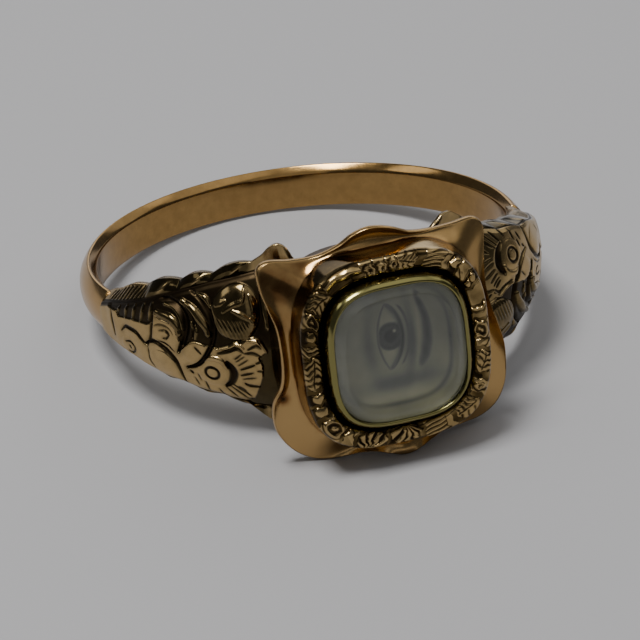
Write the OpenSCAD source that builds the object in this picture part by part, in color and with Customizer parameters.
// Gold ring with a glazed miniature of an eye. It lies on its side: the finger hole's axis is near
// upright, the bezel faces -Y and is raised a little, because the ring rests on the back of its hoop
// and on the bezel plate's lower edge. Millimetres, +Z up, origin under the middle of the box.

/* [Hoop] */
// Inner diameter, which sets the finger size
finger_d = 17.2; // [16:0.1:18.5]
// Height of the hoop at its back, along the finger
hoop_w = 1.84; // [1.6:0.02:2]
// Height of the hoop where the shoulders begin
hoop_shoulder_w = 1.92; // [1.88:0.01:1.94]
// Thickness of the hoop at its back
hoop_t = 0.65; // [0.55:0.01:0.7]
// Thickness of the hoop at its sides
hoop_side_t = 0.82; // [0.78:0.01:0.84]
// Radius of the hoop's rounded outer face, across its height
hoop_crown = 1.5; // [1.3:0.05:2.5]
// Thickness of the tongues by which the hoop's ends are let into the shoulders
tongue_t = 0.34; // [0.3:0.01:0.4]

/* [Shoulders] */
// Thickness of the shoulders along their middle
shoulder_t = 1.2; // [1.1:0.02:1.3]
// Thickness of the shoulders along their scalloped edges
shoulder_edge_t = 0.26; // [0.22:0.01:0.4]
// Radius of the shoulders' domed face, across their height
shoulder_dome = 4.6; // [4:0.1:6]
// How much further the right shoulder's face swells out
right_swell = 0.34; // [0:0.02:0.4]
// Angle from the middle of the bezel to the hoop end of a shoulder
shoulder_start = 80; // [78:0.5:81]
// Angle from the middle of the bezel to the bezel end of a shoulder
shoulder_end = 19; // [18:0.5:21]
// Share of the chased relief's full height
relief = 1; // [0.5:0.05:1.3]

/* [Bezel plate] */
// Thickness of the wavy plate
plate_t = 0.36; // [0.3:0.02:0.5]
// How deep the plate's face dips between the border and its edge
plate_dip = 0.22; // [0.1:0.01:0.3]

/* [Chased border] */
// Half the width of the border outside
border_x = 3.9; // [3.84:0.01:4]
// Half the height of the border outside
border_z = 3.98; // [3.92:0.01:4.08]
// Breadth of the border's face
border_b = 0.76; // [0.64:0.02:0.78]
// Distance from the finger's axis to the border's crest
border_y = 12.04; // [11.9:0.01:12.1]
// Number of leaves and scrolls chased round the border
border_leaves = 16; // [12:1:20]
// How far the chased leaves stand up
border_relief = 0.15; // [0.05:0.01:0.2]

/* [Glazed frame] */
// Half the width of the glass rim outside
rim_x = 3.04; // [2.95:0.01:3.1]
// Half the height of the glass rim outside
rim_z = 3.12; // [3.03:0.01:3.18]
// Thickness of the rim's wall
rim_t = 0.26; // [0.2:0.01:0.35]
// Distance from the finger's axis to the rim's top
rim_y = 12.36; // [12.3:0.01:12.45]
// How far down the rim's lip slopes outside, where it is rubbed over the crystal
rim_slope = 0.46; // [0.3:0.02:0.5]

/* [Crystal and miniature] */
// Breadth of the crystal's ground bevel
bevel_b = 0.58; // [0.4:0.02:0.8]
// Depth of the crystal's ground bevel
bevel_d = 0.2; // [0.16:0.02:0.3]
// How far the crystal's table stands above the rim
table_rise = 0.05; // [0:0.01:0.1]
// Thickness of the crystal
crystal_t = 1.05; // [0.9:0.05:1.1]
// Thickness of the painted plaque
plaque_t = 0.34; // [0.25:0.01:0.4]

/* [Hidden] */
$fn = 96;
GOLD = "#b58a4a";
RIM_GOLD = "#a99a55";
GLASS = "#8f958a";
PAPER = "#b9bbae";

// What the hoop rests on: its own lower edge at the back, and the plate's lowest bump.
bore_r = finger_d / 2;
back_r = bore_r + hoop_t;
bump_z = 4.8;
bump_y = 11.1 - plate_t;
tilt = atan((bump_z - hoop_w / 2) / (back_r + bump_y));
lift = back_r * sin(tilt) + hoop_w / 2 * cos(tilt);

// The hoop's outside is a circle a little in front of the bore's, so the hoop thins to its back.
side_r = bore_r + hoop_side_t;
outer_r = (pow(side_r, 2) + pow(back_r, 2)) / (2 * back_r);
outer_shift = outer_r - back_r;
// Seen from that circle's middle, the hoop ends at a wider angle than from the bore's.
hoop_end = atan2(bore_r * sin(shoulder_start), bore_r * cos(shoulder_start) - outer_shift);

// The hoop's tongues reach past its own ends, into the shoulders' grooves, with a solder gap round them.
tongue_end = 37;
tongue_h = 0.72;
joint = 0.03;
joint_angle = 0.25;
solder = 0.08;
fitted_from = 34;
groove_h = tongue_h + joint;

// The box under the border: its ledge carries the plaque, and its hollow backs it.
box_inset = 0.34;
ledge_depth = 1.14;
floor_y = border_y - ledge_depth;
hollow_y = bore_r + 0.62;
hollow_inset = 1.26;
clear = 0.05;
lip_in = 0.26;
lip_over = 0.07;
far = 30;
squareness = 3.1;

// The whole ring's reach in Y, which puts the origin under the middle of its box.
reach_front = rim_y * cos(tilt) + (rim_z - lip_in) * sin(tilt);
reach_back = (back_r - 0.01) * cos(tilt) + 0.22 * sin(tilt);
shift_y = (reach_front - reach_back) / 2;

// A shoulder's outline, as the left one lies: [angle from the bezel, upper edge, lower edge, ridge
// between its face and its upper side band, middle thickness as a share of the full one].
SHOULDER = [
  [80, 1.00, 0.97, 0.60, 0.68],
  [75, 1.25, 1.10, 0.82, 0.73],
  [70, 1.50, 1.26, 0.98, 0.78],
  [64, 1.80, 1.48, 1.24, 0.84],
  [59, 2.04, 1.70, 1.50, 0.88],
  [49, 2.44, 2.10, 2.08, 0.95],
  [41, 2.76, 2.46, 2.46, 1.00],
  [34, 3.08, 2.76, 2.70, 1.00],
  [30, 3.26, 3.40, 2.82, 1.00],
  [27, 3.58, 3.72, 2.88, 0.98],
  [24, 3.90, 3.70, 2.92, 0.94],
  [22.5, 3.97, 3.54, 2.94, 0.90],
  [20.6, 3.60, 3.36, 2.94, 0.86],
  [19, 3.12, 3.20, 2.94, 0.82],
];
// The scallops along its upper edge: [angle it starts at, angle it ends at, how far it stands out,
// how thick its rolled edge is]. The lower edge has them too, at a share of the size.
SCALLOPS = [
  [74, 62.5, 0.14, 0.06],
  [62.5, 50.7, 0.19, 0.08],
  [50.7, 41, 0.19, 0.08],
  [41, 30, 0.20, 0.08],
];
LOWER_SHARE = 0.35;
// Round bosses on its face: [angle, height on the ring, radius along, radius up, how high].
BOSSES = [
  [33.4, 1.40, 1.14, 1.12, 0.26],
  [41.3, -1.18, 0.60, 0.60, 0.10],
  [54.2, 0.20, 0.60, 0.50, 0.06],
  [55.8, -1.00, 0.70, 0.55, 0.06],
  [44.8, -0.35, 0.62, 0.50, 0.06],
  [66.6, -0.66, 0.50, 0.42, 0.05],
];
// Raised ribs on its face: [angle and height at one end, the same at the other, half width, rise].
RIBS = [
  [54.6, 1.00, 51.4, 0.94, 0.22, 0.16],
  [51.4, 0.94, 49.0, 0.46, 0.22, 0.16],
  [46.2, 1.50, 43.6, 1.16, 0.22, 0.16],
  [43.6, 1.16, 40.6, 0.60, 0.22, 0.16],
  [43.0, -0.62, 39.6, -0.50, 0.16, 0.10],
  [39.6, -0.50, 37.0, -0.96, 0.16, 0.10],
  [38.8, -0.04, 32.4, 0.08, 0.14, 0.07],
  [32.4, 0.16, 28.6, 0.26, 0.18, 0.10],
  [28.6, 0.26, 25.6, -0.18, 0.18, 0.10],
];
// The fan of cut rays by the disc: [angle, height, inner radius, outer radius, number in a turn].
FAN = [39.6, -1.15, 0.80, 1.85, 24];

// The plate's outer edge, from its top bump round by the left: [across, up, forward].
PLATE_EDGE = [
  [-0.35, 4.95, 11.05], [-1.02, 4.76, 10.93], [-1.62, 4.32, 10.70], [-2.45, 3.95, 10.36],
  [-3.40, 3.92, 10.16], [-4.42, 4.04, 10.06], [-4.90, 3.72, 10.10], [-4.88, 2.95, 10.26],
  [-4.70, 2.20, 10.48], [-4.50, 1.40, 10.76], [-4.48, 0.50, 10.98], [-4.52, -0.35, 11.04],
  [-4.62, -1.00, 10.92], [-4.94, -1.75, 10.66], [-4.92, -2.70, 10.40], [-4.60, -3.50, 10.20],
  [-4.02, -4.20, 10.10], [-3.25, -4.60, 10.16], [-2.40, -4.60, 10.38], [-1.65, -4.42, 10.64],
  [-1.05, -4.38, 10.86], [-0.50, -4.60, 11.02], [0.15, -4.82, 11.10], [0.75, -4.68, 11.02],
  [1.35, -4.42, 10.84], [2.10, -4.34, 10.52], [2.95, -4.42, 10.24], [3.80, -4.30, 10.12],
  [4.45, -3.90, 10.12], [4.82, -3.15, 10.26], [4.88, -2.20, 10.54], [4.78, -1.10, 10.88],
  [4.54, -0.20, 11.06], [4.34, 0.60, 11.02], [4.28, 1.40, 10.74], [4.38, 2.20, 10.46],
  [4.52, 3.05, 10.24], [4.58, 3.75, 10.12], [4.20, 4.12, 10.10], [3.30, 4.04, 10.14],
  [2.25, 4.10, 10.38], [1.25, 4.36, 10.78], [0.45, 4.78, 11.02],
];
PLATE_FOOT_Y = 10.74;
EDGE_STEPS = 2;

// Shared shapes: a point on a circle round the finger, and a rounded-square outline.
function round_finger(angle, r, z) = [-r * sin(angle), -r * cos(angle), z];
function cushion_r(a, hx, hz, n) = pow(pow(abs(cos(a)) / hx, n) + pow(abs(sin(a)) / hz, n), -1 / n);
function cushion(a, hx, hz) = cushion_r(a, hx, hz, squareness) * [cos(a), sin(a)];
function outline(hx, hz, steps = 72) = [for (i = [0 : steps - 1]) cushion(i * 360 / steps, hx, hz)];
function across_to_front(p, y) = [p[0], -y, p[1]];
function dome(d) = d < 1 ? sqrt(1 - d * d) : 0;
function column(table, k) = [for (i = [len(table) - 1 : -1 : 0]) [table[i][0], table[i][k]]];

// A skin over loops of points, each loop a section. An open skin's ends are flat, or the faces given,
// which number a loop's own points.
module skin(loops, closed = false, first_end = [], last_end = []) {
  m = len(loops);
  n = len(loops[0]);
  sides = [
    for (i = [0 : closed ? m - 1 : m - 2], j = [0 : n - 1])
      let (a = i * n + j, b = i * n + (j + 1) % n, c = (i + 1) % m * n + j, d = (i + 1) % m * n + (j + 1) % n)
      each [[a, b, d], [a, d, c]]
  ];
  flat = [[for (j = [0 : n - 1]) j]];
  first = len(first_end) > 0 ? first_end : flat;
  last = len(last_end) > 0 ? last_end : flat;
  ends = closed ? [] : concat(
    [for (f = first) [for (j = [len(f) - 1 : -1 : 0]) f[j]]],
    [for (f = last) [for (j = f) (m - 1) * n + j]]
  );
  polyhedron([for (loop = loops, p = loop) p], concat(sides, ends));
}

// Lays the upright ring down on its hoop's back and the plate's lower edge.
module laid_down() {
  translate([0, shift_y, lift]) rotate([-tilt, 0, 0]) children();
}

// Part of a turn round the finger that leaves out an angle either side of the bezel.
module around_back(angle) {
  rotate([0, 0, angle - 90]) rotate_extrude(angle = 360 - 2 * angle) children();
}

// The plain hoop: D-shaped in section, lowest at its back, with a tongue at each end.
module hoop() {
  reach = back_r + 1;
  slope = (hoop_shoulder_w - hoop_w) / 2 / back_r;
  color(GOLD) laid_down() difference() {
    union() {
      intersection() {
        translate([0, -outer_shift, 0]) around_back(hoop_end) intersection() {
          translate([outer_r - hoop_crown, 0]) circle(hoop_crown);
          translate([bore_r - 0.4, -hoop_crown]) square([2, 2 * hoop_crown]);
        }
        rotate([90, 0, 90]) linear_extrude(2 * reach, center = true) polygon([
          for (y = [-reach, reach]) [y, hoop_w / 2 + slope * (back_r - y)],
          for (y = [reach, -reach]) [y, -hoop_w / 2 - slope * (back_r - y)],
        ]);
      }
      around_back(tongue_end) translate([bore_r - 0.2, -tongue_h]) square([tongue_t + 0.2, 2 * tongue_h]);
    }
    cylinder(far, r = bore_r, center = true);
  }
}

// Half the width at a height that the box takes up with the solder round it, and a shoulder point's
// angle once its end is fitted round that.
function box_half_width(z) =
  let (hx = border_x - box_inset + solder, hz = border_z - box_inset + solder, k = min(1, abs(z) / hz))
  hx * pow(1 - pow(k, squareness), 1 / squareness);
function fitted_angle(angle, r, z) =
  let (first = shoulder_end - joint_angle, wall = max(first, asin(box_half_width(z) / r)))
  angle >= fitted_from ? angle : wall + (angle - first) * (fitted_from - wall) / (fitted_from - first);
function on_shoulder(angle, r, z) = round_finger(fitted_angle(angle, r, z), r, z);

// How far an angle and height on a shoulder's face are from a centre, in millimetres.
function off_centre(angle, z, angle0, z0) = [(angle - angle0) * back_r * PI / 180, z - z0];
function to_rib(p, a, b) =
  let (ab = b - a, k = max(0, min(1, (p - a) * ab / (ab * ab)))) norm(p - a - k * ab);
function scallop(angle, k) =
  max([for (s = SCALLOPS)
    angle < s[0] && angle > s[1] ? s[k] * sin(180 * (angle - s[1]) / (s[0] - s[1])) : 0]);
function chasing(angle, z) =
  let (
    p = off_centre(angle, z, 0, 0),
    bosses = [for (b = BOSSES) let (d = off_centre(angle, z, b[0], b[1]))
      b[4] * dome(norm([d[0] / b[2], d[1] / b[3]]))],
    ribs = [for (r = RIBS)
      r[5] * dome(to_rib(p, off_centre(r[0], r[1], 0, 0), off_centre(r[2], r[3], 0, 0)) / r[4])],
    f = off_centre(angle, z, FAN[0], FAN[1]),
    in_fan = norm(f) > FAN[2] && norm(f) < FAN[3] && f[0] - f[1] < 1.6 && z < -0.2,
    ray = in_fan ? 0.06 * (1 + cos(FAN[4] * atan2(f[1], f[0]))) : 0
  )
  relief * max(concat(bosses, ribs, [ray]));

// A point on the band that falls from a shoulder's ridge to its edge.
function side_band(angle, k, ridge, edge, crest, edge_r) =
  let (step = 0.12, top_r = crest - ridge * ridge / (2 * shoulder_dome) - step)
  on_shoulder(angle, top_r + (edge_r - top_r) * pow(k, 1.4), ridge + (edge - ridge) * k);

// Share of a swell: full in the middle of a shoulder, none at its ends.
function swell_at(angle) = sin(180 * max(0, min(1, (angle - 25) / (shoulder_start - 25))));

// Where the inside has points from the groove's mouth to an edge, as shares of the way.
WALL_STEPS = [0, 0.52, 0.84, 1];

// One section of a shoulder: its outer face from the lower edge to the upper one, then its inside.
function shoulder_section(angle, swell, side_steps = 3, face_steps = 18) =
  let (
    upper = lookup(angle, column(SHOULDER, 1)) + scallop(angle, 2),
    lower = lookup(angle, column(SHOULDER, 2)) + LOWER_SHARE * scallop(angle, 2),
    ridge = lookup(angle, column(SHOULDER, 3)),
    lower_ridge = min(ridge, lower - 0.22),
    crest = bore_r + shoulder_t * lookup(angle, column(SHOULDER, 4)) + swell * swell_at(angle),
    edge_r = bore_r + shoulder_edge_t + scallop(angle, 3),
    wall_r = bore_r + joint,
    groove_r = wall_r + (angle > tongue_end - 1 ? tongue_t : 0),
    mouth = groove_h + 0.04
  )
  [
    for (i = [side_steps : -1 : 1]) side_band(angle, i / side_steps, -lower_ridge, -lower, crest, edge_r),
    for (i = [0 : face_steps])
      let (z = -lower_ridge + (ridge + lower_ridge) * i / face_steps)
      on_shoulder(angle, crest - z * z / (2 * shoulder_dome) + chasing(angle, z), z),
    for (i = [1 : side_steps]) side_band(angle, i / side_steps, ridge, upper, crest, edge_r),
    for (i = [len(WALL_STEPS) - 1 : -1 : 0])
      on_shoulder(angle, wall_r, mouth + (upper - mouth) * WALL_STEPS[i]),
    on_shoulder(angle, groove_r, groove_h),
    on_shoulder(angle, groove_r, -groove_h),
    for (k = WALL_STEPS) on_shoulder(angle, wall_r, -mouth - (lower - mouth) * k),
  ];

// The end of a shoulder, in faces between its inside and the nearest points of its outside.
function nearest_outside(section, i, last) =
  let (off = [for (j = [0 : last]) abs(section[j][2] - section[i][2])]) search(min(off), off)[0];
function shoulder_end_faces(section) =
  let (
    n = len(section),
    first = n - 2 * len(WALL_STEPS) - 2,
    to = [for (i = [first : n - 1]) nearest_outside(section, i, first - 1)]
  )
  [for (i = [first : n - 2]) [i, i + 1, each [for (j = [to[i + 1 - first] : to[i - first]]) j]]];

// A shoulder as the left one lies, with a groove inside for the hoop's tongue.
module shoulder(swell = 0, steps = 44) {
  step = (shoulder_start - shoulder_end) / steps;
  sections = [for (i = [steps : -1 : 0]) shoulder_section(shoulder_end - joint_angle + i * step, swell)];
  first_end = shoulder_end_faces(sections[0]);
  last_end = shoulder_end_faces(sections[steps]);
  color(GOLD) skin(sections, first_end = first_end, last_end = last_end);
}
module left_shoulder() {
  laid_down() shoulder();
}

// The right shoulder is the same casting turned half round the bezel's axis.
module right_shoulder() {
  laid_down() rotate([0, 180, 0]) shoulder(right_swell);
}

// A smooth closed curve through the plate's edge points.
function between(a, b, c, d, t) =
  0.5 * (2 * b + (c - a) * t + (2 * a - 5 * b + 4 * c - d) * t * t + (3 * b - a - 3 * c + d) * t * t * t);
function plate_edge() =
  let (n = len(PLATE_EDGE))
  [for (i = [0 : n - 1], j = [0 : EDGE_STEPS - 1])
    between(PLATE_EDGE[(i + n - 1) % n], PLATE_EDGE[i], PLATE_EDGE[(i + 1) % n], PLATE_EDGE[(i + 2) % n],
      j / EDGE_STEPS)];

// The edge's distance from the middle, and how far forward it is, in any direction.
EDGE_BY_ANGLE = [for (e = plate_edge(), turn = [-360, 0])
  [(atan2(e[1], e[0]) + 360) % 360 + turn, norm([e[0], e[1]]), e[2]]];
function edge_at(a) = [
  lookup(a, [for (e = EDGE_BY_ANGLE) [e[0], e[1]]]) * [cos(a), sin(a)],
  lookup(a, [for (e = EDGE_BY_ANGLE) [e[0], e[2]]]),
];

// One line over the bezel, from its hollow over ledge, border, hollowed plate and plate's back to the
// box's back, which lies on the bore.
function bezel_line(a, plate_steps = 4) =
  let (
    swell = border_relief * abs(sin(a * border_leaves / 2)),
    crest_y = border_y - border_relief + swell,
    out = cushion(a, border_x, border_z),
    dir = out / norm(out),
    in = cushion(a, border_x - border_b, border_z - border_b),
    hollow = cushion(a, border_x - hollow_inset, border_z - hollow_inset),
    wall = cushion(a, border_x - box_inset, border_z - box_inset),
    edge = edge_at(a),
    plate = [for (i = [0 : plate_steps]) let (k = i / plate_steps)
      [out + (edge[0] - out) * k,
        PLATE_FOOT_Y + (edge[1] - PLATE_FOOT_Y) * k * k - plate_dip * 4 * k * (1 - k)]]
  )
  [
    across_to_front(hollow, hollow_y),
    across_to_front(hollow, floor_y),
    across_to_front(in, floor_y),
    across_to_front(in, crest_y - 0.16),
    across_to_front(in + 0.1 * dir, crest_y - 0.03),
    across_to_front((in + out) / 2, crest_y),
    across_to_front(out - (0.16 - swell / 2) * dir, crest_y - 0.04),
    across_to_front(out - (0.06 - swell / 2) * dir, crest_y - 0.2),
    for (p = plate) across_to_front(p[0], p[1]),
    for (i = [plate_steps : -2 : 1]) across_to_front(plate[i][0] - 0.02 * dir, plate[i][1] - plate_t),
    across_to_front(wall, PLATE_FOOT_Y - plate_t - plate_dip / 2),
    across_to_front(wall, sqrt(pow(bore_r + joint, 2) - pow(wall[0], 2))),
  ];

// Box, border and plate in one skin. Its back is laid in strips along the finger.
module bezel(steps = 120) {
  lines = [for (i = [0 : steps - 1]) bezel_line((i + 0.5) * 360 / steps)];
  loops = [for (k = [0 : len(lines[0]) - 1]) [for (l = lines) l[k]]];
  back = [for (i = [0 : steps / 2 - 2]) [i, i + 1, steps - 2 - i, steps - 1 - i]];
  color(GOLD) laid_down() skin(loops, last_end = back);
}

// The smooth rim that is set over the crystal. Its lip slopes in all round, over the crystal's edge.
module glass_rim(steps = 60) {
  foot_y = floor_y + clear;
  rows = [
    for (i = [steps - 1 : -1 : 0])
      let (
        a = i * 360 / steps,
        out = cushion(a, rim_x, rim_z),
        dir = out / norm(out),
        in = out - rim_t * dir
      )
      [
        across_to_front(in, foot_y),
        across_to_front(in, rim_y - 0.24),
        across_to_front(in - lip_over * dir, rim_y - 0.1),
        across_to_front(in - lip_over * dir, rim_y - 0.03),
        across_to_front(out - lip_in * dir, rim_y),
        across_to_front(out - 0.12 * dir, rim_y - rim_slope / 3),
        across_to_front(out, rim_y - rim_slope),
        across_to_front(out, foot_y),
      ]
  ];
  color(RIM_GOLD) laid_down() skin(rows, closed = true);
}

// A flat crystal with a ground bevel all round, from its table to just under the rim's lip.
module crystal(steps = 48) {
  girdle = rim_t + clear;
  top_y = rim_y + table_rise;
  function ring(inset, y) =
    [for (i = [0 : steps - 1]) across_to_front(cushion(i * 360 / steps, rim_x - inset, rim_z - inset), y)];
  color(GLASS, 0.4) laid_down() skin([
    ring(girdle + bevel_b, top_y),
    ring(girdle + clear, top_y - bevel_d),
    ring(girdle, rim_y - 0.4),
    ring(girdle, top_y - crystal_t),
  ]);
}

// The painted plaque on the box's ledge, close behind the crystal.
module eye_miniature() {
  inset = rim_t + clear;
  color(PAPER) laid_down() translate([0, -floor_y - clear, 0]) rotate([90, 0, 0])
    linear_extrude(plaque_t) polygon(outline(rim_x - inset, rim_z - inset, 60));
}

hoop();
left_shoulder();
right_shoulder();
bezel();
glass_rim();
crystal();
eye_miniature();
